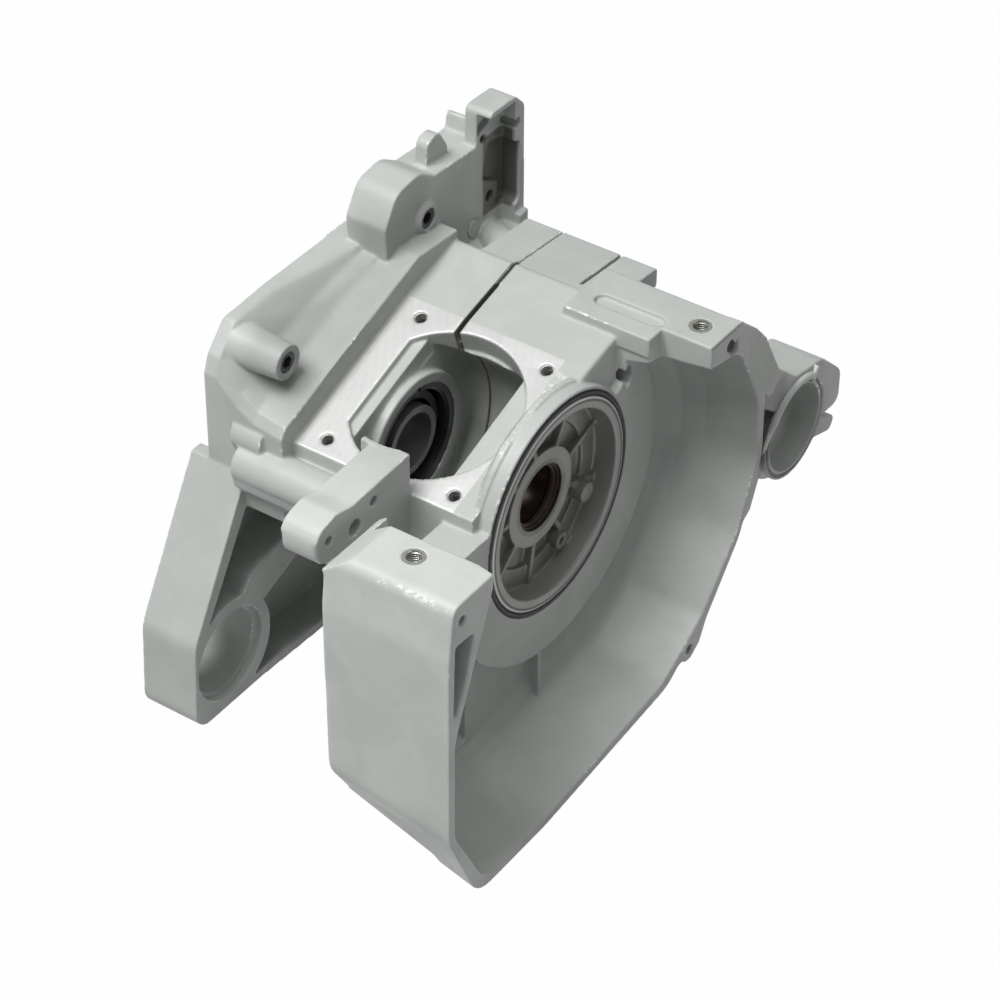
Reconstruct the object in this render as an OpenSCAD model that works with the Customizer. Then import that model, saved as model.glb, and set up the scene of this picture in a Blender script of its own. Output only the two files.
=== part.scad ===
/* [Crank line] */
// Diameter of the crankshaft's bearing seats
shaft_d = 25; // [22:0.5:28]
// Outside diameter of the main ball bearings
bearing_d = 52; // [50:0.5:53]
// Width of the main ball bearings
bearing_w = 15; // [13:0.5:16]
// Diameter of the balls
ball_d = 7.7; // [7:0.1:8]
// Number of balls in each bearing
ball_count = 9; // [7:1:9]
// Distance from the cylinder axis to the inner face of each bearing
bearing_x = 21; // [20.5:0.5:22.5]
// Outside diameter of the two shaft seals
seal_d = 36; // [34:1:38]
// Width of the two shaft seals
seal_w = 6; // [5:0.5:7]
// Running gap between balls, races and cages
ball_gap = 0.2; // [0.1:0.05:0.3]

/* [Cylinder seat] */
// Forward lean of the cylinder from the vertical, in degrees
lean = 19.5; // [15:0.5:22]
// Height of the cylinder seat above the crank axis, along the cylinder axis
seat_h = 37.6; // [36:0.2:40]
// Radius of the counterbore for the cylinder's skirt
skirt_r = 35.4; // [34:0.2:36]
// Depth of that counterbore
skirt_depth = 11; // [9:0.5:13]
// Side spacing of the four cylinder screws
screw_dx = 61; // [60:0.5:62]
// Fore-and-aft spacing of the four cylinder screws
screw_dy = 66.4; // [65:0.2:68]
// Diameter of the threaded holes for the cylinder screws
cyl_hole_d = 5.2; // [4.5:0.1:6]
// Depth of the threaded holes for the cylinder screws
cyl_hole_depth = 15; // [10:1:16]

/* [Body] */
// Offset of the parting plane from the cylinder axis
joint_x = -12.7; // [-14:0.1:-12]
// Thickness of the paper gasket between the two halves
gasket_t = 0.5; // [0.3:0.1:0.8]
// Width of the open slit above the gasket
slit_w = 2; // [1.5:0.1:2.4]
// Radius of the round crank chamber
chamber_r = 42; // [41:0.5:43]
// Wall of the crankcase round that chamber
case_wall = 9; // [8:0.5:11]
// Width of the crank chamber on each side of the cylinder axis
chamber_x = 22.5; // [22:0.5:23]
// Drop of the rear deck over its length
deck_drop = 4.3; // [3:0.1:6]

/* [Bearing plate] */
// Radius of the bearing plate
plate_r = 46; // [45:0.2:47]
// Distance from the cylinder axis to the outer face of the bearing plate
plate_x = 50.4; // [49.6:0.2:51]
// Distance from the cylinder axis to the face of its hub
hub_x = 41.6; // [41:0.2:43]
// Radius of the hub bore
hub_bore_r = 14.4; // [13.8:0.2:15]
// Number of radial ribs in the dish
rib_count = 9; // [7:1:11]
// Thickness of the radial ribs
rib_t = 2.4; // [1.8:0.2:3]
// Section radius of the sealing ring round the plate
ring_r = 1.1; // [1:0.05:1.15]

/* [Fan housing] */
// Distance from the cylinder axis to the rim of the fan housing
rim_x = 84; // [82:0.5:87]
// Distance from the cylinder axis to the floor of the fan housing
floor_x = 43; // [42:0.5:44]
// Wall thickness of the fan housing
fan_wall = 4; // [3.5:0.1:5]
// Radius of the raised round land about the bearing plate
land_r = 70; // [67:0.5:72]
// Distance from the crank axis down to the base
base_z = 112.3; // [110:0.1:114]
// Height of the front box above the crank axis
box_z = 45; // [43:0.5:47]
// Height of the shroud bar above the crank axis
bar_z = 58; // [57:0.2:59]
// Thickness of the shroud bar
bar_t = 9; // [8:0.5:10]
// Diameter of the thread inserts for the shroud screws
insert_d = 9; // [8.4:0.2:9.6]
// Bore of the thread inserts
insert_bore_d = 6.8; // [6:0.1:7.2]
// Length of the thread inserts
insert_len = 8; // [7:0.5:8.6]

/* [Vibration mounts] */
// Bore radius of the rear mount ring
rear_eye_r = 20; // [19:0.25:21]
// Wall of the rear mount ring
rear_eye_wall = 4; // [3.5:0.25:5]
// Bore radius of the front mount eye
front_eye_r = 19; // [17:0.25:20]
// Wall of the front mount eye
front_eye_wall = 7.2; // [6:0.2:8]
// Width of the front strap
strap_w = 28; // [26:1:30]

/* [Clutch side] */
// Distance from the cylinder axis to the clutch side's joint face
clutch_x = 80; // [78:0.5:82]
// Height of the tank ridge above the crank axis
ridge_z = 65; // [63:0.5:67]
// Height of the tank shelf above the cylinder seat
shelf_h = 10.8; // [9:0.2:13]
// Diameter of the heads of the case screws
screw_head_d = 8.5; // [8:0.1:9]
// Size across the flats of their hexagon sockets
hex_af = 5; // [4:0.5:6]

/* [Hidden] */
$fn = 64;
eps = 0.01;

gasket_fan = joint_x + gasket_t / 2;
gasket_clutch = joint_x - gasket_t / 2;
body_r = chamber_r + case_wall;
pitch_r = (shaft_d + bearing_d) / 4;
raceway_r = ball_d / 2 + ball_gap;
inner_land_r = pitch_r - 3.6;
outer_land_r = pitch_r + 3.4;
seal_pocket_r = seal_d / 2;
deck_y = 60;
deck_end_y = 95;
seat_edge_v = 40.4;
seat_n = [0, -sin(lean), cos(lean)];
seat_t = [0, cos(lean), sin(lean)];
front_y = seat_h * seat_n[1] - seat_edge_v * seat_t[1];
front_z = seat_h * seat_n[2] - seat_edge_v * seat_t[2];
rear_y = seat_h * seat_n[1] + seat_edge_v * seat_t[1];
rear_z = seat_h * seat_n[2] + seat_edge_v * seat_t[2];
deck_z = rear_z + (deck_y - rear_y) * tan(lean - 5.5);
deck_end_z = deck_z - deck_drop;
front_wall_y = -122;
rear_eye = [134.5, -32];
box_screw = [54.3, -102.2];
bar_screw = [71.9, 65.4];
plug_at = [86, 44];
dowel_at = [[-44.5, -13.5], [44.9, 12]];
screws_at = [[-50.6, -42, 52], [-51, 52, 68]];
front_eye = [-73, -82];
strap_x0 = -clutch_x - 9;
strap_x1 = strap_x0 + strap_w;
shoulder_x = -52;
post_x = -45;
boss_x = 41.2;
spigot_r = 33.4;
spigot_x = chamber_x + 1.8;
dish_x = 39.6;
plate_back = bearing_x + bearing_w + 0.3;
ridge_x = -72;
band_x = -42;

function unit(v) = v / norm(v);
function corner(a, b, c, r, n) =
    r <= 0 ? [b] :
    let (u = unit(a - b), v = unit(c - b), half = acos(u * v) / 2,
        mid = b + unit(u + v) * r / sin(half), p = b + u * r / tan(half), q = b + v * r / tan(half),
        a0 = atan2(p[1] - mid[1], p[0] - mid[0]), a1 = atan2(q[1] - mid[1], q[0] - mid[0]),
        turn = (a1 - a0 + 540) % 360 - 180)
    [for (i = [0 : n]) mid + r * [cos(a0 + turn * i / n), sin(a0 + turn * i / n)]];
function flat(p) = [p[0], p[1]];
// An outline of [y, z, corner radius] points, with its corners turned into arcs
function rounded(pts, n = 5) =
    let (m = len(pts))
    [for (i = [0 : m - 1])
        each corner(flat(pts[(i + m - 1) % m]), flat(pts[i]), flat(pts[(i + 1) % m]), pts[i][2], n)];
function inset(pts, d) = [for (p = pts) p - d * unit(p)];

// A side outline, given in y and z, made solid from x0 to x1
module slab(x0, x1) {
    translate([x0, 0, 0]) rotate([90, 0, 90]) linear_extrude(x1 - x0) children();
}
module rod(x0, x1, at, r) {
    slab(x0, x1) translate(at) circle(r);
}
module tube(x0, x1, r_out, r_in) {
    slab(x0, x1) difference() {
        circle(r_out);
        circle(r_in);
    }
}
// Children placed on the cylinder seat, with z along the cylinder axis
module on_seat(h = seat_h) {
    rotate([lean, 0, 0]) translate([0, 0, h]) children();
}
// A closed skin through rings of equal point count, one ring for each x
module loft(xs, rings) {
    n = len(rings[0]);
    m = len(xs);
    points = [for (k = [0 : m - 1]) for (p = rings[k]) [xs[k], p[0], p[1]]];
    sides = [for (k = [0 : m - 2]) for (i = [0 : n - 1]) each [
        [k * n + i, (k + 1) * n + i, k * n + (i + 1) % n],
        [k * n + (i + 1) % n, (k + 1) * n + i, (k + 1) * n + (i + 1) % n]]];
    ends = [[for (i = [0 : n - 1]) i], [for (i = [n - 1 : -1 : 0]) (m - 1) * n + i]];
    polyhedron(points, concat(sides, ends));
}

// Side outlines
body_head = rounded([[front_y, front_z, 0], [rear_y, rear_z, 0], [deck_y, deck_z, 1.5],
    [deck_y, 20, 14], [34, -16, 0], [-40, -20, 0], [front_y, -6, 12]]);
rear_deck = rounded([[deck_y - 2, deck_z - 1, 0], [deck_end_y, deck_end_z, 2],
    [deck_end_y, deck_end_z - 9, 2], [deck_y + 12, deck_end_z - 13, 8], [48, 26, 0], [48, 40, 0]]);
rim_inner = rounded([[-93, box_z - 5, 3], [-118, -22, 20], [-118, -70, 14], [-98, 4 - base_z, 12],
    [-56, 4 - base_z, 30], [30, -99, 24], [58, -83, 20], [84, -54, 30], [97, -22, 30],
    [95, 8, 30], [78, bar_z - bar_t - 6, 14], [48, bar_z - bar_t, 0], [0, box_z + 8, 0]], 5);
rim_outer = rounded([[-93, box_z, 0], [front_wall_y + 3, box_z, 5], [front_wall_y, 20, 30],
    [front_wall_y, -70, 22], [-103, -base_z, 13], [-56, -base_z, 30], [34, -103.5, 20],
    [43, -97, 5], [51, -100, 4], [58, -96, 4], [63, -86, 5], [86, -58, 30], [101, -24, 30],
    [100, 12, 26], [88, 46, 14], [78, bar_z, 5], [48, bar_z, 0]], 5);
tray = rounded([[-58, 2, 1], [-95, -64, 14], [-97.5, -108.3, 9], [-52, -108.3, 0],
    [20, -base_z, 60], [66, -base_z, 26], [94, -64, 40], [94, 2, 1]], 6);
tray_hollow = rounded([[-56, -10, 6], [-90, -66, 12], [-93, -104, 6], [-52, -104, 0],
    [20, 5 - base_z, 60], [63, 5 - base_z, 22], [89, -64, 34], [89, -30, 6]], 6);
tank = rounded([[-58, 0, 0], [-58, 43, 12], [-42, ridge_z, 10], [34, ridge_z, 0], [94, ridge_z - 6, 4],
    [94, 20, 8], [40, 0, 0]], 5);
shoulder = rounded([[27, 40, 0], [25, 76, 4], [33, 89, 9], [48, 91, 9], [59, 84.5, 3], [62, 84.5, 1],
    [93, 82.5, 1], [94.5, 90, 1], [98, 89, 1.5], [93, 77, 1.5], [93, 64, 1], [104, 58, 2], [103, 50, 3],
    [96, 36, 0]], 5);
boss_plate = rounded([[front_y, 42, 0], [-88, 40.5, 14], [-97, 43, 5], [-111, 40, 8], [-110, 25, 8],
    [-95, 22, 8], [-86, 4, 8], [-60, -16, 8], [front_y, -16, 0]], 5);

module cylinder_seat_cuts() {
    // Counterbore with a ledge on both sides, then the mouth of the chamber
    on_seat(seat_h - skirt_depth) intersection() {
        cylinder(r = skirt_r, h = skirt_depth + 30);
        translate([-chamber_x - 0.5, -60, 0]) cube([2 * chamber_x + 1.5, 120, 80]);
    }
    on_seat(seat_h - 2.7) intersection() {
        cylinder(r = skirt_r, h = 30);
        translate([-27.8, -60, 0]) cube([120, 120, 40]);
    }
    on_seat(0) intersection() {
        cylinder(r = skirt_r - 1.5, h = 60);
        translate([-chamber_x, -60, 0]) cube([2 * chamber_x, 120, 60]);
    }
    for (sx = [-1, 1], sy = [-1, 1])
        on_seat(seat_h - cyl_hole_depth) translate([sx * screw_dx / 2, sy * screw_dy / 2, 0])
            cylinder(d = cyl_hole_d, h = cyl_hole_depth + 30);
}
// Everything above the machined seat, up to the bearing boss
module above_seat() {
    on_seat() translate([0, seat_edge_v, 0]) rotate([90, 0, 0]) linear_extrude(seat_edge_v * 2 + 30)
        polygon([[band_x, 0], [boss_x, 0], [boss_x, 12.4], [boss_x + 12, 12.4], [boss_x + 12, 50], [band_x, 50]]);
}

module chamber() {
    rod(-chamber_x, chamber_x, [0, 0], chamber_r);
}

module fan_bowl_outer() {
    xs = [30, 50, 66, rim_x];
    drop = [20, 9, 3, 0];
    loft(xs, [for (d = drop) inset(rim_outer, d)]);
}
module fan_bowl_hollow() {
    xs = [floor_x, floor_x + 3, floor_x + 8, floor_x + 18, rim_x + 1];
    drop = [19, 12, 7.5, 4, 0];
    loft(xs, [for (d = drop) inset(rim_inner, d)]);
}

module front_box() {
    back = rounded([[-84, box_z, 0], [front_wall_y + 3, box_z, 5], [front_wall_y, 20, 30], [-121, -62, 14],
        [-104, -89, 10], [-60, -87, 0], [-60, -4, 0], [-84, 4, 0]]);
    rim = rounded([[-84, box_z, 0], [front_wall_y + 3, box_z, 5], [front_wall_y, 20, 30], [front_wall_y, -70, 22],
        [-103, -base_z, 13], [-60, -base_z, 0], [-60, -4, 0], [-84, 4, 0]]);
    loft([25, rim_x], [back, inset(rim, 0.3)]);
}
module front_box_hollow() {
    back = rounded([[-54, box_z + 5, 0], [-92, box_z + 5, 0], [-93, box_z - 5, 3], [-117, 5, 20], [-117, -60, 12],
        [-99, -84, 8], [-54, -83, 0], [-54, 20, 0]]);
    rim = rounded([[-54, box_z + 5, 0], [-92, box_z + 5, 0], [-93, box_z - 5, 3], [-118, -22, 20], [-118, -70, 14],
        [-98, fan_wall - base_z, 12], [-54, fan_wall - base_z, 0], [-54, 20, 0]]);
    loft([29, rim_x + 1.5], [back, inset(rim, 0.4)]);
}

module crankcase_fan_side() {
    color([0.79, 0.8, 0.78])
    difference() {
        union() {
            difference() {
                union() {
                    slab(gasket_fan, 44) {
                        circle(body_r);
                        polygon(body_head);
                    }
                    // Soft edge round the plateau
                    intersection() {
                        for (a = [30 : 30 : 90])
                            slab(40, 44.5 + 1.5 * sin(a)) offset(-1.8 * (1 - cos(a))) polygon(body_head);
                        slab(39, 60) polygon([[-40, -30], [-34, 12], [-20, 70], [120, 70], [120, -30]]);
                    }
                    // Round boss that carries the bearing plate
                    rod(boss_x, plate_x - 0.4, [0, 0], plate_r + 4);
                }
                above_seat();
            }
            translate([dish_x - 2.5, 0, 0]) rotate([0, 90, 0]) cylinder(r1 = plate_r - 2, r2 = plate_r + 3.8, h = boss_x - dish_x + 2.8);
            intersection() {
                rod(38.4, 50, [0, 0], land_r);
                slab(30, 60) polygon([[-90, -30], [-66, -14], [-48, -6], [-30, 10], [0, 10], [30, 28],
                    [43, 31], [56, 40], [90, 46], [90, -90], [-90, -90]]);
            }
            slab(gasket_fan, 33) polygon(rear_deck);
            intersection() {
                fan_bowl_outer();
                // The housing is open above, between the front box and the bar
                union() {
                    translate([0, -140, -140]) cube([120, 300, 156]);
                    translate([0, 46, 0]) cube([120, 80, 80]);
                }
            }
            front_box();
            // Shroud bar
            translate([20, 45, bar_z - bar_t]) cube([rim_x - 22, 32, bar_t]);
            slab(rim_x - 6, rim_x) polygon(rounded([[54, bar_z, 1], [77, bar_z, 2], [90, 47, 6], [98, 38, 4],
                [112, 12, 4], [104, 2, 3], [86, 36, 6], [76, 38, 2]]));
            // Muffler-side boss plate with its rounded lug
            slab(-2, 15) polygon(boss_plate);
            translate([-6, front_y - 4, 20]) cube([8, 5, 22.4]);
            slab(-2, 40) polygon([[-80, -3], [front_y, -7], [front_y, -34], [-76, -34]]);
            // Rear mount ring with its bridge
            rod(rim_x - 30, rim_x - 4, rear_eye, rear_eye_r + rear_eye_wall);
            rod(rim_x - 30, rim_x - 10, rear_eye, rear_eye_r + rear_eye_wall + 2);
            slab(rim_x - 30, rim_x - 4) polygon(rounded([[96, 34, 4], [112, 14, 12], [132, -4, 8], [155, -8, 12],
                [172, -24, 9], [172, -41, 5], [158, -40, 3], [150, -22, 4], [120, -16, 0], [100, 0, 0]]));
            slab(rim_x - 27, rim_x - 8) polygon([[92, 6], [114, -14], [114, -47], [108, -61], [95, -69], [80, -66]]);
            slab(rim_x - 12, rim_x - 4) polygon(rounded([[152, -38, 0], [170, -47, 3], [166, -53, 3], [150, -48, 0]]));
            rod(rim_x - 10, rim_x, [50, -94], 6);
        }
        // Insides
        chamber();
        cylinder_seat_cuts();
        rod(chamber_x - 2, spigot_x + 1, [0, 0], bearing_d / 2 + 0.05);
        rod(spigot_x, boss_x + 1, [0, 0], spigot_r + 0.05);
        rod(dish_x - 1.7, plate_x + 1, [0, 0], plate_r - 3.4);
        rod(plate_x - 4, plate_x + 1, [0, 0], plate_r + 0.1);
        rod(plate_x - 2.4, plate_x + 1, [0, 0], plate_r + 2.4);
        fan_bowl_cut();
        // Open slit above the gasket
        on_seat(seat_h - 6) translate([joint_x - slit_w / 2, -80, 0]) cube([slit_w, 142.5, 60]);
        // Short saw slot in the rear deck
        translate([15.4, 64, deck_end_z - 4]) cube([1.2, 40, 20]);
        // Shallow groove in the bar, and the step in its front edge
        for (x = [31, 56]) translate([x, 58, bar_z - 2]) cylinder(r = 3.6, h = 10);
        translate([31, 54.4, bar_z - 2]) cube([25, 7.2, 10]);
        translate([61, 40, bar_z - 20]) cube([100, 14.6, 40]);
        // Sloping inner edge of the front box
        translate([24, -130, 36]) rotate([0, -34.7, 0]) cube([30, 60, 30]);
        // Rear edge of the front box, cut back towards the rim
        translate([36, -84.7, box_z - 20]) rotate([0, 0, -10.5]) cube([80, 40, 40]);
        // Holes
        translate([bar_screw[0], bar_screw[1], bar_z - insert_len]) cylinder(d = insert_d, h = 30);
        translate([bar_screw[0], bar_screw[1], bar_z - 14]) cylinder(d = insert_bore_d, h = 30);
        translate([box_screw[0], box_screw[1], box_z - 20]) cylinder(d = insert_d, h = 30);
        for (p = dowel_at) rod(gasket_fan - 1, joint_x + 7, p, 3);
        rod(rim_x - 6, rim_x + 1, [69.5, 50.5], 2.8);
        rod(rim_x - 14, rim_x + 1, [-113, 36], 2.2);
        rod(rim_x - 12, rim_x + 1, [50, -94], 2.2);
        rod(5, 16, [-74, 34], 2.2);
        rod(-3, 16, [-86, 29], 3.6);
        rod(5, 16, [-102, 33], 2.2);
        rod(rim_x - 30, rim_x + 1, rear_eye, rear_eye_r);
        slab(rim_x - 6, rim_x) translate(rear_eye) difference() {
            circle(rear_eye_r + 3);
            circle(rear_eye_r + 1.5);
        }
        slab(30, 60) hull() {
            translate([48.4, 36.5]) circle(2.4);
            translate([47.8, 31]) circle(2.2);
        }
        // Wedge pocket between the front wall and the scroll wall
        slab(rim_x - 30, rim_x + 1) polygon(rounded([[-105.5, 25, 1], [-117.5, 26, 1.5], [-118.6, -12, 1],
            [-111, 4, 1]], 3));
    }
}

module fan_bowl_cut() {
    difference() {
        union() {
            fan_bowl_hollow();
            front_box_hollow();
        }
        rod(30, 50.1, [0, 0], land_r - 0.1);
        // Rib on the housing's floor
        translate([floor_x - 1, -11, -107]) cube([7, 2.4, 40]);
    }
}

// Upper skin of the tank: a shelf that twists up into the ridge
module tank_top() {
    ridge = [[40, 0], [94, 20], [94, ridge_z - 6], [34, ridge_z], [-22, ridge_z], [-44, ridge_z - 1.5],
        [-55, ridge_z - 13], [-58, ridge_z - 21], [-58, 0]];
    shelf = [[40, 0], [94, 20], [94, ridge_z - 6], [34, shelf_z(34)], [-10, shelf_z(-10)], [-40, shelf_z(-40)],
        [-55, shelf_z(-55)], [-58, 27], [-58, 0]];
    middle = [for (i = [0 : len(ridge) - 1]) 0.4 * ridge[i] + 0.6 * shelf[i]];
    foot = [for (i = [0 : len(ridge) - 1]) 0.12 * ridge[i] + 0.88 * shelf[i]];
    loft([-clutch_x, ridge_x - 2, -64, -56, band_x], [ridge, ridge, middle, foot, shelf]);
}
function shelf_z(y) = seat_h / cos(lean) + y * tan(lean) + shelf_h;

module strap() {
    difference() {
        union() {
            slab(strap_x0, strap_x1) intersection() {
                polygon(tray);
                polygon([[-120, 20], [-52, 20], [-52, -120], [-120, -120]]);
            }
            slab(-84, strap_x1) polygon(tray);
        }
        slab(-79.5, strap_x1 + 1) difference() {
            polygon(tray_hollow);
            translate(front_eye) circle(front_eye_r + front_eye_wall);
            // Web from the eye back under the crankcase
            polygon([[-64, -58], [-58, -51], [-10, -37], [-10, -53], [-49, -67.5], [-56, -70]]);
            circle(body_r);
        }
        rod(strap_x0 - 1, strap_x1 + 1, front_eye, front_eye_r);
        rod(strap_x1 - 4, strap_x1 + 1, front_eye, front_eye_r + 2);
    }
}

module post() {
    difference() {
        slab(-58, post_x) polygon(rounded([[87, 50, 0], [88, 101, 3], [106, 100.5, 5], [112.5, 94, 5],
            [113, 40, 0], [87, 36, 0]]));
        // Channel open towards the fan side
        slab(-55, post_x + 1) polygon(rounded([[70, 30, 0], [70, 84, 0], [97, 80, 1], [109.5, 78, 2],
            [109.5, 48, 3], [70, 44, 0]]));
        rod(-60, post_x + 1, [107.5, 87], 2.4);
        slab(-55, post_x + 1) polygon([[89, 93], [97, 94.5], [97, 91], [89, 87]]);
    }
    slab(-56, post_x - 4) polygon([[95, 84], [98, 84], [89, 60], [86, 60]]);
}

module crankcase_clutch_side() {
    color([0.77, 0.78, 0.76])
    difference() {
        union() {
            difference() {
                union() {
                    slab(band_x, gasket_clutch) {
                        circle(body_r);
                        polygon(body_head);
                    }
                    slab(-60, -40) circle(seat_h + 2);
                }
                above_seat();
            }
            tank_top();
            strap();
            // Rounded casting under the front of the seat
            rod(-62, gasket_clutch, [front_y - 7, 9], 9);
            slab(-62, gasket_clutch) polygon([[front_y - 15.8, 9], [front_y - 14, 0], [front_y, -14], [-30, -40], [-30, 8]]);
            slab(-clutch_x, band_x) polygon([[-58, 6], [-58, -14], [-30, -40], [60, -40], [94, -20], [94, 30], [40, 10]]);
            // Screw boss on the sloping skin and the rounded boss below it
            translate([-75, -42, 52]) rotate([0, 90, 0]) cylinder(r1 = 9.5, r2 = 7.6, h = 25);
            rod(-66, -51, [-53, 20], 8);
            translate([-55, -54, 4]) cylinder(r = 5.5, h = 20);
            // Shoulder with its lug, ring boss and plug boss
            slab(-72, shoulder_x) polygon(shoulder);
            slab(-64, -58) polygon(rounded([[61, 80, 0], [62, 95, 4], [70, 98, 5], [76, 88, 2], [77, 80, 0]]));
            rod(-60, shoulder_x + 1.2, [52, 68], 6.8);
            rod(-60, shoulder_x + 2, [52, 68], 5.6);
            slab(-54, gasket_clutch) polygon(rear_deck);
            slab(-60, -42) polygon([[60, 30], [60, 37], [112, 44], [112, 30], [90, 20]]);
            post();
        }
        chamber();
        cylinder_seat_cuts();
        rod(-bearing_x - bearing_w - 0.2, -20, [0, 0], bearing_d / 2);
        rod(-bearing_x - bearing_w - 8.4, -20, [0, 0], seal_pocket_r);
        rod(-90, -40, [0, 0], shaft_d / 2 + 4);
        rod(-90, -50, [0, 0], 30);
        on_seat(seat_h - 6) translate([joint_x - slit_w / 2, -80, 0]) cube([slit_w, 142.5, 60]);
        for (c = screws_at) {
            rod(c[0] - 5, c[0] + 3, [c[1], c[2]], screw_head_d / 2 + 0.35);
            rod(c[0] - 20, c[0], [c[1], c[2]], 2.5);
        }
        for (p = dowel_at) rod(joint_x - 7, gasket_clutch + 1, p, 3);
        rod(shoulder_x - 8, -40, [97.5, 54], 2.5);
        rod(shoulder_x - 8, -40, [92.5, 84.5], 1.9);
        rod(shoulder_x - 5, shoulder_x + 2, plug_at, 4.05);
        // Valley behind the deck, with the round channel in it
        difference() {
            translate([-51.9, 61, 38]) cube([21.4, 45, 60]);
            hull() {
                translate([-50, 96, 36]) sphere(7);
                translate([-17, 72, 47]) sphere(8);
            }
        }
    }
    // Ring with the groove for the bearing's circlip
    difference() {
        tube(-chamber_x - 1, -bearing_x + 2.2, 31, bearing_d / 2 + 0.05);
        rod(-bearing_x, -bearing_x + 1.4, [0, 0], bearing_d / 2 + 1.1);
    }
}

module crankcase_gasket() {
    color([0.55, 0.5, 0.4])
    difference() {
        slab(gasket_clutch, gasket_fan) difference() {
            union() {
                circle(body_r);
                polygon([[front_y + 6, 10], [front_y + 6, 0], [60, -10], [60, 30], [40, 34]]);
            }
            circle(chamber_r);
            for (p = dowel_at) translate(p) circle(3.3);
        }
        cylinder_seat_cuts();
        on_seat(seat_h - 6.5) translate([-20, -90, 0]) cube([20, 200, 60]);
    }
}

module bearing_plate() {
    color([0.7, 0.71, 0.7])
    difference() {
        union() {
            rod(plate_x - 4, plate_x, [0, 0], plate_r);
            rod(dish_x - 1.6, plate_x - 3, [0, 0], plate_r - 3.5);
            rod(spigot_x, dish_x, [0, 0], spigot_r);
        }
        // Dish with its hub, bosses and ribs left standing
        difference() {
            union() {
                rod(dish_x, plate_x + 1, [0, 0], plate_r - 5.2);
                rod(plate_back + 1.2, plate_x, [0, 0], spigot_r - 1.8);
            }
            rod(dish_x - 10, hub_x, [0, 0], 22);
            for (i = [0 : rib_count - 1]) rotate([i * 360 / rib_count + 10, 0, 0])
                translate([dish_x - 10, -rib_t / 2, 18]) cube([11.9, rib_t, 24]);
            rod(dish_x - 10, 46, [27, -13], 4.5);
            rod(dish_x - 10, 43.5, [13, -30], 4);
        }
        rod(30, plate_x + 1, [0, 0], hub_bore_r);
        rod(30, plate_back + seal_w - 2, [0, 0], seal_pocket_r);
        rod(bearing_x, plate_back, [0, 0], bearing_d / 2);
        rod(dish_x, 60, [13, -30], 1.6);
    }
}
module bearing_plate_ring() {
    color([0.12, 0.12, 0.12])
    translate([plate_x - 1.25, 0, 0]) rotate([0, 90, 0]) rotate_extrude()
        translate([plate_r + 1.25, 0]) circle(ring_r, $fn = 24);
}
module shaft_seal(x0, w) {
    difference() {
        rod(x0, x0 + w, [0, 0], seal_pocket_r);
        rod(x0 - 1, x0 + w + 1, [0, 0], shaft_d / 2 + 1.2);
    }
    tube(x0 + w / 2 - 0.6, x0 + w / 2 + 0.6, shaft_d / 2 + 1.5, shaft_d / 2 + 0.05);
}
module fan_side_seal() {
    color([0.3, 0.2, 0.14]) shaft_seal(plate_back, seal_w - 2);
}
module clutch_side_seal() {
    color([0.3, 0.2, 0.14]) shaft_seal(-bearing_x - bearing_w - 2 - seal_w, seal_w);
}
module clutch_side_circlip() {
    color([0.4, 0.4, 0.42])
    difference() {
        tube(-bearing_x + 0.1, -bearing_x + 1.3, bearing_d / 2 + 1, bearing_d / 2 - 2.5);
        slab(-bearing_x - 1, -bearing_x + 2) polygon([[0, 0], [-6, 40], [6, 40]]);
    }
}
module dowel_pins() {
    color([0.6, 0.6, 0.62])
    for (p = dowel_at) rod(joint_x - 7, joint_x + 7, p, 3);
}
module socket_screw(x0, x1, at) {
    difference() {
        union() {
            rod(x1 - 5, x1, at, screw_head_d / 2);
            rod(x0, x1 - 4, at, 2.5);
        }
        slab(x1 - 2.6, x1 + 1) translate(at) circle(d = hex_af / cos(30), $fn = 6);
    }
}
module case_screws() {
    color([0.35, 0.36, 0.36])
    for (c = screws_at) socket_screw(c[0] - 18, c[0], [c[1], c[2]]);
}
module thread_insert(at, z) {
    translate([at[0], at[1], z - insert_len]) difference() {
        cylinder(d = insert_d, h = insert_len - 0.2);
        translate([0, 0, -1]) cylinder(d = insert_bore_d, h = insert_len + 2);
    }
}
module shroud_thread_inserts() {
    color([0.75, 0.72, 0.6]) {
        thread_insert(box_screw, box_z);
        thread_insert(bar_screw, bar_z);
    }
}
module gallery_plug() {
    color([0.7, 0.7, 0.7]) rod(shoulder_x - 5, shoulder_x + 0.6, plug_at, 4);
}

module race(side, r_out, r_in) {
    scale([side, 1, 1]) difference() {
        tube(bearing_x, bearing_x + bearing_w, r_out, r_in);
        translate([bearing_x + bearing_w / 2, 0, 0]) rotate([0, 90, 0]) rotate_extrude()
            translate([pitch_r, 0]) circle(raceway_r, $fn = 48);
    }
}
module ball_ring(side) {
    for (i = [0 : ball_count - 1]) rotate([i * 360 / ball_count, 0, 0])
        translate([side * (bearing_x + bearing_w / 2), 0, pitch_r]) sphere(d = ball_d, $fn = 24);
}
module ball_cage(side) {
    difference() {
        scale([side, 1, 1]) tube(bearing_x + 3, bearing_x + bearing_w - 3, pitch_r + 1.6, pitch_r - 1.6);
        for (i = [0 : ball_count - 1]) rotate([i * 360 / ball_count, 0, 0])
            translate([side * (bearing_x + bearing_w / 2), 0, pitch_r]) sphere(d = ball_d + 2 * ball_gap, $fn = 24);
    }
}
module fan_bearing_outer_race() {
    color([0.5, 0.5, 0.52]) race(1, bearing_d / 2, outer_land_r);
}
module fan_bearing_inner_race() {
    color([0.5, 0.5, 0.52]) race(1, inner_land_r, shaft_d / 2);
}
module fan_bearing_balls() {
    color([0.6, 0.6, 0.62]) ball_ring(1);
}
module fan_bearing_cage() {
    color([0.35, 0.33, 0.3]) ball_cage(1);
}
module clutch_bearing_outer_race() {
    color([0.5, 0.5, 0.52]) race(-1, bearing_d / 2, outer_land_r);
}
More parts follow.
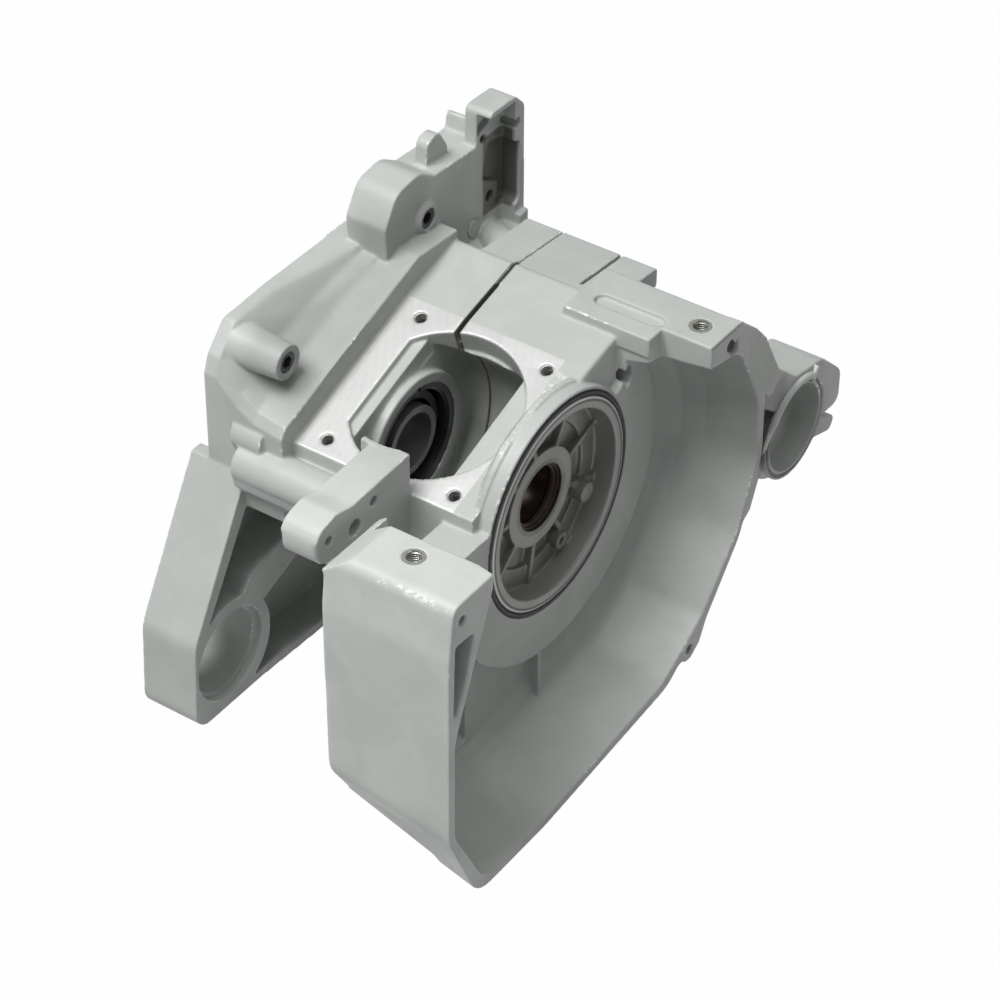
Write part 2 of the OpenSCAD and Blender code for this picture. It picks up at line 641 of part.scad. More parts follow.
module clutch_bearing_inner_race() {
    color([0.5, 0.5, 0.52]) race(-1, inner_land_r, shaft_d / 2);
}
module clutch_bearing_balls() {
    color([0.6, 0.6, 0.62]) ball_ring(-1);
}
module clutch_bearing_cage() {
    color([0.35, 0.33, 0.3]) ball_cage(-1);
}

crankcase_fan_side();
crankcase_clutch_side();
crankcase_gasket();
bearing_plate();
bearing_plate_ring();
fan_side_seal();
clutch_side_seal();
clutch_side_circlip();
fan_bearing_outer_race();
fan_bearing_inner_race();
fan_bearing_balls();
fan_bearing_cage();
clutch_bearing_outer_race();
clutch_bearing_inner_race();
clutch_bearing_balls();
clutch_bearing_cage();
dowel_pins();
case_screws();
shroud_thread_inserts();
gallery_plug();
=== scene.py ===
import math
import bmesh
import bpy
import numpy as np
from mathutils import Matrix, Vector


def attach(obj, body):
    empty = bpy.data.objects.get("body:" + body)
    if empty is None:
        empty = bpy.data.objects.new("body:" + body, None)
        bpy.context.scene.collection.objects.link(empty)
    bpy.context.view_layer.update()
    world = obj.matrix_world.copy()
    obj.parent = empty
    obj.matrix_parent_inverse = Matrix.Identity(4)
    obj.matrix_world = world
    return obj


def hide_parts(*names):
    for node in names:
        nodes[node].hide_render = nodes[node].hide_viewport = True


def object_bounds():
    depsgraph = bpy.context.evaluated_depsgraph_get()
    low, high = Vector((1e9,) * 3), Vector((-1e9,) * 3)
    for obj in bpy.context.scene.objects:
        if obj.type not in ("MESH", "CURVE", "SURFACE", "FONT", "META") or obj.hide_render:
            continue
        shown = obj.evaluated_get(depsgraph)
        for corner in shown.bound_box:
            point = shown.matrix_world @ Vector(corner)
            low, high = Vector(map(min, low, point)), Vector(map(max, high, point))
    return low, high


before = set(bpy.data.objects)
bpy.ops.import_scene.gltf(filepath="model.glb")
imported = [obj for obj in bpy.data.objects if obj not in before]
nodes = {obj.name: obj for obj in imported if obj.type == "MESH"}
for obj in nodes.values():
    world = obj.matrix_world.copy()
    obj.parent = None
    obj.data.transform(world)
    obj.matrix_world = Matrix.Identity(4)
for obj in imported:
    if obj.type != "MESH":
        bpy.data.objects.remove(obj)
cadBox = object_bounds()
scene = bpy.context.scene

# the cylinder seat: its lean, its height above the crank line, and where its screws are, in metres
seat = {"lean": math.radians(19.5), "height": 0.0376, "screwX": 0.0305, "screwY": 0.0332}
seatNormal = (0.0, -math.sin(seat["lean"]), math.cos(seat["lean"]))
seatAlong = (0.0, math.cos(seat["lean"]), math.sin(seat["lean"]))


# shader helpers

def addNode(tree, kind, at=(0, 0), **values):
    node = tree.nodes.new(kind)
    node.location = at
    for name, value in values.items():
        setattr(node, name, value)
    return node


def plug(tree, source, target):
    tree.links.new(source, target)


def newGroup(name, inputs, outputs):
    group = bpy.data.node_groups.new(name, "ShaderNodeTree")
    for label, kind, value in inputs:
        socket = group.interface.new_socket(name=label, in_out="INPUT", socket_type=kind)
        if value is not None:
            socket.default_value = value
    for label, kind in outputs:
        group.interface.new_socket(name=label, in_out="OUTPUT", socket_type=kind)
    ins = addNode(group, "NodeGroupInput", (-900, 0))
    outs = addNode(group, "NodeGroupOutput", (900, 0))
    return group, ins, outs


def mathNode(tree, operation, a, b=None, clamp=False):
    node = addNode(tree, "ShaderNodeMath", operation=operation, use_clamp=clamp)
    for index, value in enumerate((a, b)):
        if value is None:
            continue
        if isinstance(value, (int, float)):
            node.inputs[index].default_value = value
        else:
            plug(tree, value, node.inputs[index])
    return node.outputs[0]


def times(tree, a, b, clamp=False):
    return mathNode(tree, "MULTIPLY", a, b, clamp)


def plus(tree, a, b):
    return mathNode(tree, "ADD", a, b)


def minus(tree, a, b, clamp=False):
    return mathNode(tree, "SUBTRACT", a, b, clamp)


def most(tree, a, b):
    return mathNode(tree, "MAXIMUM", a, b)


def objectCoords(tree):
    return addNode(tree, "ShaderNodeTexCoord").outputs["Object"]


def noiseNode(tree, coords, scale, detail=3.0, rough=0.55, distortion=0.0):
    node = addNode(tree, "ShaderNodeTexNoise")
    plug(tree, coords, node.inputs["Vector"])
    wanted = {"Scale": scale, "Detail": detail, "Roughness": rough, "Distortion": distortion}
    for name, value in wanted.items():
        if isinstance(value, (int, float)):
            node.inputs[name].default_value = value
        else:
            plug(tree, value, node.inputs[name])
    return node.outputs["Fac"]


def mixColour(tree, factor, a, b, mode="MIX"):
    node = addNode(tree, "ShaderNodeMix", data_type="RGBA", blend_type=mode)
    for socket, value in ((node.inputs[0], factor), (node.inputs[6], a), (node.inputs[7], b)):
        if isinstance(value, (int, float)):
            socket.default_value = value
        elif isinstance(value, tuple):
            socket.default_value = (*value, 1.0)
        else:
            plug(tree, value, socket)
    return node.outputs[2]


def rampBetween(tree, value, low, high):
    node = addNode(tree, "ShaderNodeMapRange", interpolation_type="SMOOTHSTEP")
    plug(tree, value, node.inputs[0])
    node.inputs[1].default_value = low
    node.inputs[2].default_value = high
    return node.outputs[0]


def makeGrainGroup():
    # fine pebbling of a die casting, its slow unevenness, and cloudy colour
    group, ins, outs = newGroup(
        "castGrain", [("Grain Scale", "NodeSocketFloat", 900.0)],
        [("Height", "NodeSocketFloat"), ("Cloud", "NodeSocketFloat"), ("Speck", "NodeSocketFloat")])
    coords = objectCoords(group)
    fine = noiseNode(group, coords, ins.outputs["Grain Scale"], 2.0, 0.6)
    slow = noiseNode(group, coords, 90.0, 3.0, 0.5)
    cloud = noiseNode(group, coords, 34.0, 4.0, 0.6, 0.6)
    speck = noiseNode(group, coords, 420.0, 2.0, 0.5)
    height = plus(group, times(group, fine, 0.35), times(group, slow, 0.65))
    plug(group, height, outs.inputs["Height"])
    plug(group, rampBetween(group, cloud, 0.32, 0.68), outs.inputs["Cloud"])
    plug(group, rampBetween(group, speck, 0.68, 0.74), outs.inputs["Speck"])
    return group


wear = {
    "edgeGain": 45.0, "cornerGain": 16.0, "patchyScale": 130.0, "flakeScale": 420.0, "whereScale": 28.0,
    "chip": (0.53, 0.57), "flake": (0.54, 0.58), "where": (0.53, 0.6), "patchy": (0.3, 0.6),
}


def makeWearGroup():
    # bare edges, painted shade in the concave corners and loose flakes, the first two from the surface's own
    # curvature
    group, ins, outs = newGroup(
        "edgeWearAndCornerShade", [("Edge", "NodeSocketFloat", 0.53), ("Corner", "NodeSocketFloat", 0.47)],
        [("Bare", "NodeSocketFloat"), ("Corner Shade", "NodeSocketFloat"), ("Flakes", "NodeSocketFloat")])
    point = addNode(group, "ShaderNodeNewGeometry").outputs["Pointiness"]
    coords = objectCoords(group)
    patchy = noiseNode(group, coords, wear["patchyScale"], 4.0, 0.65)
    flakes = noiseNode(group, coords, wear["flakeScale"], 3.0, 0.6)
    where = noiseNode(group, coords, wear["whereScale"], 2.0, 0.5)
    sharp = times(group, minus(group, point, ins.outputs["Edge"]), wear["edgeGain"], True)
    chips = rampBetween(group, flakes, *wear["chip"])
    chipped = times(group, chips, rampBetween(group, where, *wear["where"]))
    deep = times(group, minus(group, ins.outputs["Corner"], point), wear["cornerGain"], True)
    dirtAndShade = times(group, deep, rampBetween(group, patchy, *wear["patchy"]), True)
    plug(group, times(group, sharp, chipped, True), outs.inputs["Bare"])
    plug(group, rampBetween(group, flakes, *wear["flake"]), outs.inputs["Flakes"])
    plug(group, dirtAndShade, outs.inputs["Corner Shade"])
    return group


def makeFaceGroup():
    # 1 on one flat face, given by its plane's normal and distance, and half a tolerance, in metres
    group, ins, outs = newGroup(
        "machinedFace",
        [("Normal", "NodeSocketVector", (0.0, 0.0, 1.0)), ("Distance", "NodeSocketFloat", 0.0),
         ("Half Gap", "NodeSocketFloat", 0.0004)],
        [("Mask", "NodeSocketFloat")])
    dot = addNode(group, "ShaderNodeVectorMath", operation="DOT_PRODUCT")
    plug(group, objectCoords(group), dot.inputs[0])
    plug(group, ins.outputs["Normal"], dot.inputs[1])
    off = minus(group, dot.outputs["Value"], ins.outputs["Distance"])
    near = mathNode(group, "LESS_THAN", mathNode(group, "ABSOLUTE", off), ins.outputs["Half Gap"])
    facing = addNode(group, "ShaderNodeVectorMath", operation="DOT_PRODUCT")
    plug(group, addNode(group, "ShaderNodeNewGeometry").outputs["Normal"], facing.inputs[0])
    plug(group, ins.outputs["Normal"], facing.inputs[1])
    level = rampBetween(group, facing.outputs["Value"], 0.9, 0.98)
    plug(group, times(group, near, level), outs.inputs["Mask"])
    return group


grainGroup = makeGrainGroup()
wearGroup = makeWearGroup()
faceGroup = makeFaceGroup()


def useGroup(tree, group, **values):
    node = addNode(tree, "ShaderNodeGroup", node_tree=group)
    for name, value in values.items():
        socket = node.inputs[name.replace("_", " ")]
        if isinstance(value, (int, float, tuple)):
            socket.default_value = value
        else:
            plug(tree, value, socket)
    return node


def startMaterial(name):
    material = bpy.data.materials.new(name)
    material.use_nodes = True
    tree = material.node_tree
    shader = tree.nodes["Principled BSDF"]
    return material, tree, shader


def bumpInto(tree, shader, height, strength, distance):
    bump = addNode(tree, "ShaderNodeBump")
    bump.inputs["Strength"].default_value = strength
    bump.inputs["Distance"].default_value = distance
    plug(tree, height, bump.inputs["Height"])
    plug(tree, bump.outputs["Normal"], shader.inputs["Normal"])


paint = {
    "colour": (0.565, 0.59, 0.565), "shade": (0.495, 0.522, 0.497), "cloud": 0.75,
    # dirtAndShade colours the dark specks and the painted shade of cornerShade in concave corners;
    # pocketShade is the painted shade of the recess boxes
    "dirtAndShade": (0.2, 0.2, 0.18), "speckDirt": 0.12, "cornerShade": 0.6, "pocketShade": (0.1, 0.1, 0.088),
    "bare": (0.9, 0.9, 0.88), "bareAmount": 0.9, "bareMetal": 0.25, "edge": 0.516, "corner": 0.472,
    "rough": 0.41, "roughSpread": 0.1, "specular": 0.42,
    "grainScale": 850.0, "bump": 0.5, "bumpDepth": 0.0003, "rearShadeFrom": -0.085, "rearShadeTo": -0.045,
}
milled = {
    "fresh": (0.67, 0.675, 0.665), "dull": (0.58, 0.585, 0.575), "metal": 0.55, "centre": (0.14, 0.05, 0.0),
    "scale": 90.0, "distortion": 1.5, "detail": 3.0, "swirl": 0.22, "cloud": 0.4,
}


def boxMask(tree, split, low, high, amount, soft):
    # the amount inside a box, fading out at its sides
    inside = amount
    for axis, a, b in zip("XYZ", low, high):
        above = rampBetween(tree, split.outputs[axis], a - soft, a + soft)
        beyond = rampBetween(tree, split.outputs[axis], b - soft, b + soft)
        inside = times(tree, times(tree, above, inside), minus(tree, 1.0, beyond))
    return inside


def milledColour(tree, coords, cloud):
    # the arcs that a milling cutter leaves on a flat face
    shift = addNode(tree, "ShaderNodeMapping")
    shift.inputs["Location"].default_value = milled["centre"]
    plug(tree, coords, shift.inputs["Vector"])
    swirl = addNode(tree, "ShaderNodeTexWave", wave_type="RINGS", rings_direction="SPHERICAL")
    plug(tree, shift.outputs["Vector"], swirl.inputs["Vector"])
    for name in ("Scale", "Distortion", "Detail"):
        swirl.inputs[name].default_value = milled[name.lower()]
    arcs = times(tree, swirl.outputs["Fac"], milled["swirl"])
    streak = plus(tree, arcs, times(tree, cloud, milled["cloud"]))
    return mixColour(tree, streak, milled["fresh"], milled["dull"])


def faceMask(tree, split, face):
    # 1 on a milled face, within its own limits along the axes
    group = useGroup(tree, faceGroup, Normal=face["normal"], Distance=face["at"], Half_Gap=face["gap"])
    mask = group.outputs["Mask"]
    for axis, low, high in face["within"]:
        above = mathNode(tree, "GREATER_THAN", split.outputs[axis], low)
        below = mathNode(tree, "LESS_THAN", split.outputs[axis], high)
        mask = times(tree, mask, times(tree, above, below))
    return mask


def makePaint(name, face=None, shadedPockets=(), scuffs=(), tone=1.0, rearShade=1.0):
    # sprayed paint over a die casting, milled bright on one face, with painted shade in pockets, towards the
    # rear and in concave corners, and scuffs
    material, tree, shader = startMaterial(name)
    coords = objectCoords(tree)
    split = addNode(tree, "ShaderNodeSeparateXYZ")
    plug(tree, coords, split.inputs[0])
    grain = useGroup(tree, grainGroup, Grain_Scale=paint["grainScale"])
    worn = useGroup(tree, wearGroup, Edge=paint["edge"], Corner=paint["corner"])
    cloud = grain.outputs["Cloud"]
    # a tone below 1 darkens the whole coat as painted shade
    coat = [tuple(tone * part for part in paint[which]) for which in ("colour", "shade")]
    colour = mixColour(tree, times(tree, cloud, paint["cloud"]), *coat)
    # painted shade: the coat darker towards the rear
    if rearShade < 1.0:
        behind = mixColour(tree, 1.0, colour, (rearShade, rearShade, rearShade), "MULTIPLY")
        rear = rampBetween(tree, split.outputs["Y"], paint["rearShadeFrom"], paint["rearShadeTo"])
        colour = mixColour(tree, rear, colour, behind)
    specks = times(tree, grain.outputs["Speck"], paint["speckDirt"])
    # painted shade: darker in the concave corners, unevenly
    corners = times(tree, worn.outputs["Corner Shade"], paint["cornerShade"])
    colour = mixColour(tree, specks, colour, paint["dirtAndShade"])
    colour = mixColour(tree, corners, colour, paint["dirtAndShade"])
    # painted shade in the recesses and gaps inside the given boxes
    for shadedPocket in shadedPockets:
        colour = mixColour(tree, boxMask(tree, split, *shadedPocket), colour, paint["pocketShade"])
    bare = times(tree, worn.outputs["Bare"], paint["bareAmount"])
    for scuff in scuffs:
        bare = most(tree, bare, times(tree, boxMask(tree, split, *scuff), worn.outputs["Flakes"]))
    colour = mixColour(tree, bare, colour, paint["bare"])
    metal = times(tree, bare, paint["bareMetal"])
    if face is not None:
        mask = faceMask(tree, split, face)
        colour = mixColour(tree, mask, colour, milledColour(tree, coords, cloud))
        metal = most(tree, metal, times(tree, mask, milled["metal"]))
    plug(tree, colour, shader.inputs["Base Color"])
    plug(tree, metal, shader.inputs["Metallic"])
    rough = plus(tree, times(tree, cloud, paint["roughSpread"]), paint["rough"])
    plug(tree, rough, shader.inputs["Roughness"])
    shader.inputs["Specular IOR Level"].default_value = paint["specular"]
    bumpInto(tree, shader, grain.outputs["Height"], paint["bump"], paint["bumpDepth"])
    return material


def bandMask(tree, low, high, soft=0.0004):
    # 1 between two distances from the crank line
    flatten = addNode(tree, "ShaderNodeVectorMath", operation="MULTIPLY")
    plug(tree, objectCoords(tree), flatten.inputs[0])
    flatten.inputs[1].default_value = (0.0, 1.0, 1.0)
    length = addNode(tree, "ShaderNodeVectorMath", operation="LENGTH")
    plug(tree, flatten.outputs[0], length.inputs[0])
    inner = rampBetween(tree, length.outputs["Value"], low - soft, low + soft)
    outer = rampBetween(tree, length.outputs["Value"], high - soft, high + soft)
    return minus(tree, inner, outer, True)


# cornerShadeColour is the colour of the painted shade in concave corners
metalFinish = {
    "edge": 0.53, "corner": 0.47, "cornerShadeColour": (0.03, 0.028, 0.024), "ringDetail": 1.5, "ringTint": 0.3,
    "ringHeight": 0.4, "grainHeight": 0.6, "roughSpread": 0.14, "bumpDepth": 0.0002,
}


def makeMetal(name, colour, dark, rough, metallic, grain=700.0, lathe=0.0, bump=0.3, dirtAndShade=0.5, bands=()):
    # bare or oiled metal, turned about the crank line where lathe is above 0
    material, tree, shader = startMaterial(name)
    cast = useGroup(tree, grainGroup, Grain_Scale=grain)
    worn = useGroup(tree, wearGroup, Edge=metalFinish["edge"], Corner=metalFinish["corner"])
    base = mixColour(tree, cast.outputs["Cloud"], colour, dark)
    height = cast.outputs["Height"]
    if lathe > 0:
        rings = addNode(tree, "ShaderNodeTexWave", wave_type="RINGS", rings_direction="X")
        plug(tree, objectCoords(tree), rings.inputs["Vector"])
        rings.inputs["Scale"].default_value = lathe
        rings.inputs["Detail"].default_value = metalFinish["ringDetail"]
        turned = rings.outputs["Fac"]
        base = mixColour(tree, times(tree, turned, metalFinish["ringTint"]), base, dark)
        grooves = times(tree, turned, metalFinish["ringHeight"])
        height = plus(tree, grooves, times(tree, height, metalFinish["grainHeight"]))
    for low, high, tone in bands:
        base = mixColour(tree, bandMask(tree, low, high), base, tone)
    # painted shade: darker in the concave corners
    base = mixColour(tree, times(tree, worn.outputs["Corner Shade"], dirtAndShade), base, metalFinish["cornerShadeColour"])
    plug(tree, base, shader.inputs["Base Color"])
    shader.inputs["Metallic"].default_value = metallic
    uneven = plus(tree, times(tree, cast.outputs["Cloud"], metalFinish["roughSpread"]), rough)
    plug(tree, uneven, shader.inputs["Roughness"])
    bumpInto(tree, shader, height, bump, metalFinish["bumpDepth"])
    return material


rubber = {"grainScale": 1400.0, "dust": 0.6, "roughSpread": 0.2, "bump": 0.3, "bumpDepth": 0.0002}


def makeRubber(name, colour, dusty, rough):
    material, tree, shader = startMaterial(name)
    grain = useGroup(tree, grainGroup, Grain_Scale=rubber["grainScale"])
    cloud = grain.outputs["Cloud"]
    base = mixColour(tree, times(tree, cloud, rubber["dust"]), colour, dusty)
    plug(tree, base, shader.inputs["Base Color"])
    plug(tree, plus(tree, times(tree, cloud, rubber["roughSpread"]), rough), shader.inputs["Roughness"])
    bumpInto(tree, shader, grain.outputs["Height"], rubber["bump"], rubber["bumpDepth"])
    return material


seatFace = {
    "normal": seatNormal, "at": seat["height"], "gap": 0.0006,
    "within": (("X", -0.0406, 0.0348), ("Y", -0.06, 0.0256)),
}

# boxes of painted shade in recesses, gaps, hollows and shaded slopes, each with its low and high corner,
# amount and softness
paintedShadeBoxes = {
    "chamber": ((-0.0225, -0.0405, -0.0405), (0.0225, 0.0405, 0.024), 0.22, 0.001),
    "post": ((-0.0556, 0.0925, 0.046), (-0.0465, 0.1105, 0.0845), 0.92, 0.001),
    "skin": ((-0.066, -0.05, 0.02), (-0.04, 0.052, 0.08), 0.24, 0.006),
    "slit": ((-0.0139, -0.07, 0.03), (-0.0115, 0.062, 0.0625), 0.85, 0.0002),
    "barEnd": ((0.082, 0.0688, 0.0452), (0.086, 0.0748, 0.0512), 0.85, 0.0011),
    "barEdge": ((0.0832, 0.0545, 0.0568), (0.086, 0.0772, 0.0578), 0.6, 0.0004),
    "ring": ((0.073, 0.098, -0.038), (0.09, 0.124, 0.004), 0.6, 0.004),
}

# boxes with scuffed paint, given the same way
scuffBoxes = {
    "box": ((0.046, -0.1212, 0.0419), (0.0822, -0.1176, 0.0452), 0.7, 0.0008),
    "strip": ((0.034, -0.034, 0.028), (0.0435, 0.02, 0.052), 0.35, 0.002),
}
coats = {
    "castFan": {
        # rearShade darkens the rear of the fan half as painted shade
        "face": seatFace, "tone": 1.0, "rearShade": 0.84,
        "shadedPockets": [paintedShadeBoxes[k] for k in ("chamber", "slit", "barEnd", "barEdge", "ring")],
        "scuffs": [scuffBoxes["box"], scuffBoxes["strip"]],
    },
    "beadPaint": {},
    "castClutch": {
        # tone 0.85 darkens the clutch half as painted shade, where the light falls off
        "face": seatFace, "tone": 0.85,
        "shadedPockets": [paintedShadeBoxes[k] for k in ("chamber", "post", "slit", "skin")],
    },
}

# turned and cast bands of the bearing plate: inner and outer distance from the crank line, and colour
plateBands = (
    (0.0449, 0.0458, (0.7, 0.71, 0.69)), (0.0438, 0.0449, (0.1, 0.1, 0.095)),
    (0.0405, 0.0438, (0.34, 0.345, 0.33)), (0.0168, 0.0215, (0.33, 0.33, 0.31)),
    (0.0, 0.0147, (0.03, 0.018, 0.01)),
)
metals = {
    "plateAlloy": {
        "colour": (0.29, 0.295, 0.28), "dark": (0.18, 0.18, 0.17), "rough": 0.42, "metallic": 0.3,
        "grain": 600.0, "bump": 0.4, "dirtAndShade": 0.8, "bands": plateBands,
    },
    "raceSteel": {
        "colour": (0.3, 0.3, 0.31), "dark": (0.14, 0.14, 0.15), "rough": 0.25, "metallic": 0.9,
        "grain": 900.0, "lathe": 160.0, "bump": 0.15, "dirtAndShade": 0.8,
    },
    "oiledRace": {
        "colour": (0.085, 0.06, 0.042), "dark": (0.04, 0.028, 0.02), "rough": 0.3, "metallic": 0.6,
        "grain": 900.0, "lathe": 160.0, "bump": 0.15, "dirtAndShade": 0.8,
    },
    "cageSteel": {
        "colour": (0.1, 0.09, 0.085), "dark": (0.05, 0.045, 0.04), "rough": 0.45, "metallic": 0.6,
    },
    "groundSteel": {
        "colour": (0.5, 0.5, 0.5), "dark": (0.36, 0.36, 0.36), "rough": 0.3, "metallic": 0.9,
    },
    "screwSteel": {
        "colour": (0.2, 0.21, 0.2), "dark": (0.1, 0.1, 0.1), "rough": 0.4, "metallic": 0.8,
        "grain": 800.0, "dirtAndShade": 0.8,
    },
    "insertMetal": {
        "colour": (0.62, 0.62, 0.58), "dark": (0.42, 0.42, 0.38), "rough": 0.3, "metallic": 0.7,
        "grain": 800.0,
    },
    "springSteel": {
        "colour": (0.16, 0.16, 0.17), "dark": (0.08, 0.08, 0.08), "rough": 0.35, "metallic": 0.8,
    },
    "wornSteel": {
        "colour": (0.34, 0.34, 0.34), "dark": (0.2, 0.2, 0.2), "rough": 0.4, "metallic": 0.7,
        "grain": 900.0, "lathe": 160.0, "bump": 0.15,
    },
    "cutThread": {
        "colour": (0.55, 0.56, 0.54), "dark": (0.3, 0.3, 0.29), "rough": 0.35, "metallic": 0.6,
        "grain": 900.0, "bump": 0.2, "dirtAndShade": 0.8,
    },
}
rubbers = {
    "dustyRubber": {"colour": (0.2, 0.195, 0.185), "dusty": (0.27, 0.265, 0.25), "rough": 0.6},
    "ringRubber": {"colour": (0.025, 0.025, 0.026), "dusty": (0.06, 0.06, 0.058), "rough": 0.5},
    "sealRubber": {"colour": (0.06, 0.036, 0.022), "dusty": (0.1, 0.07, 0.05), "rough": 0.45},
    "gasketPaper": {"colour": (0.16, 0.14, 0.1), "dusty": (0.24, 0.21, 0.16), "rough": 0.75},
}
finishes = {name: makePaint(name, **values) for name, values in coats.items()}
finishes.update({name: makeMetal(name, **values) for name, values in metals.items()})
finishes.update({name: makeRubber(name, **values) for name, values in rubbers.items()})
print("materials ready")

nodeFinish = {
    "crankcase_gasket": "gasketPaper", "bearing_plate_ring": "ringRubber", "fan_side_seal": "sealRubber",
    "clutch_side_seal": "dustyRubber", "clutch_side_circlip": "springSteel", "dowel_pins": "groundSteel",
    "case_screws": "screwSteel", "shroud_thread_inserts": "insertMetal", "gallery_plug": "castClutch",
    "clutch_bearing_inner_race": "wornSteel",
}
for name, node in nodes.items():
    finish = nodeFinish.get(name)
    if finish is None and "bearing" in name and name != "bearing_plate":
        finish = "cageSteel" if "cage" in name else "oiledRace" if "fan" in name else "raceSteel"
    if finish is not None:
        node.data.materials.clear()
        node.data.materials.append(finishes[finish])


# castings: the solids' own shapes with the soft edges of a casting

def inBox(places, low, high, fade):
    # how far inside a box each point lies, from 0 at its sides to 1 at the fade depth
    depth = np.minimum(places - np.array(low), np.array(high) - places).min(axis=1)
    return np.clip(depth / fade, 0.0, 1.0)


def bakeModifiers(piece):
    graph = bpy.context.evaluated_depsgraph_get()
    piece.data = bpy.data.meshes.new_from_object(piece.evaluated_get(graph))
    piece.modifiers.clear()


calmSteps = 6


def calmSkin(piece, calm):
    # melts the creases of a drawn skin together, away from its bosses
    mesh = piece.data
    places = np.empty(len(mesh.vertices) * 3, np.float32)
    mesh.vertices.foreach_get("co", places)
    places = places.reshape(-1, 3)
    weight = inBox(places, calm["low"], calm["high"], calm["fade"])
    for (y, z), reach in calm["keep"]:
        away = np.hypot(places[:, 1] - y, places[:, 2] - z) - reach
        weight = np.minimum(weight, np.clip(away / calm["fade"], 0.0, 1.0))
    group = piece.vertex_groups.new(name="calm")
    level = np.ceil(weight * calmSteps).astype(int)
    for step in range(1, calmSteps + 1):
        group.add(np.nonzero(level == step)[0].tolist(), step / calmSteps, "REPLACE")
    melt = piece.modifiers.new("melt", "SMOOTH")
    melt.factor = 0.5
    melt.iterations = calm["passes"]
    melt.vertex_group = "calm"
    bakeModifiers(piece)
    piece.vertex_groups.clear()


def newPiece(name, data):
    piece = bpy.data.objects.new(name, data)
    scene.collection.objects.link(piece)
    return piece


soft = {"weld": 1e-6, "quickVoxel": 1.8, "budget": 190000}


def softCasting(pieceName, cast):
    mesh = nodes[cast["node"]].data.copy()
    work = bmesh.new()
    work.from_mesh(mesh)
    bmesh.ops.remove_doubles(work, verts=work.verts, dist=soft["weld"])
    work.to_mesh(mesh)
    work.free()
    piece = newPiece(pieceName, mesh)
    size = cast["voxel"]
    remesh = piece.modifiers.new("remesh", "REMESH")
    remesh.mode = "VOXEL"
    remesh.voxel_size = size
    soften = piece.modifiers.new("soften", "SMOOTH")
    soften.factor = 0.5
    soften.iterations = cast["smooth"]
    bakeModifiers(piece)
    if "calm" in cast:
        calmSkin(piece, cast["calm"])
    triangles = sum(len(p.vertices) - 2 for p in piece.data.polygons)
    if triangles > soft["budget"]:
        thin = piece.modifiers.new("thin", "DECIMATE")
        thin.ratio = soft["budget"] / triangles
        bakeModifiers(piece)
    piece.data.materials.clear()
    piece.data.materials.append(finishes[cast["finish"]])
    for polygon in piece.data.polygons:
        polygon.use_smooth = True
    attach(piece, "crankcase")
    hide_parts(cast["node"])
    faces = len(piece.data.polygons)
    print(pieceName, "voxel", size, "m,", triangles, "triangles made,", faces, "faces kept")


# calm is the box that calmSkin works in, and keep lists the bosses in it: centre in Y and Z, and radius
castings = {
    "fanCasting": {
        "node": "crankcase_fan_side", "slot": "cast_fan", "finish": "castFan", "voxel": 0.00055, "smooth": 5,
        "calm": {
            "low": (-0.004, -0.13, -0.112), "high": (0.0815, -0.108, 0.036), "fade": 0.003, "keep": [],
            "passes": 90,
        },
    },
    "clutchCasting": {
        "node": "crankcase_clutch_side", "slot": "cast_clutch", "finish": "castClutch",
        "voxel": 0.00055, "smooth": 5,
        "calm": {
            "low": (-0.0815, -0.052, 0.02), "high": (-0.0452, 0.0225, 0.09), "fade": 0.004,
            "keep": [((-0.042, 0.052), 0.0105)], "passes": 90,
        },
    },
    "plateCasting": {
        "node": "bearing_plate", "slot": "plate_alloy", "finish": "plateAlloy", "voxel": 0.0005, "smooth": 4,
    },
}
for pieceName, cast in castings.items():
    softCasting(pieceName, cast)
print("castings ready")


# raised bead on the face of the rear mount ring, with the hook at its end

# angles in degrees from the rear upwards, distances from the ring's centre in Y and Z, and heights in X
bead = {
    "centre": (0.1345, -0.032), "from": 60, "to": 178, "step": 3, "fade": 36, "least": 0.05,
    "foot": 0.0792, "hook": (0.0208, 0.0282), "hookHalf": 0.0013,
    "hookLevels": ((0.0792, 1.0), (0.0812, 1.0), (0.0818, 0.6)),
    "profile": (
        (0.0221, 0.0792), (0.0221, 0.0807), (0.0227, 0.0817), (0.0238, 0.082), (0.0249, 0.0816),
        (0.0255, 0.0806), (0.0255, 0.0792),
    ),
}


def ringPoint(radius, angle, x, aside=0.0):
    # a point on the ring's face, from its distance and angle about the ring's centre
    y = bead["centre"][0] + radius * math.cos(angle) - aside * math.sin(angle)
    z = bead["centre"][1] + radius * math.sin(angle) + aside * math.cos(angle)
    return (x, y, z)


def closedSweep(work, rows):
    # faces between neighbouring rows of points, and one on each end
    for a, b in zip(rows, rows[1:]):
        for i in range(len(a)):
            j = (i + 1) % len(a)
            work.faces.new((a[i], a[j], b[j], b[i]))
    work.faces.new(rows[0][::-1])
    work.faces.new(rows[-1])


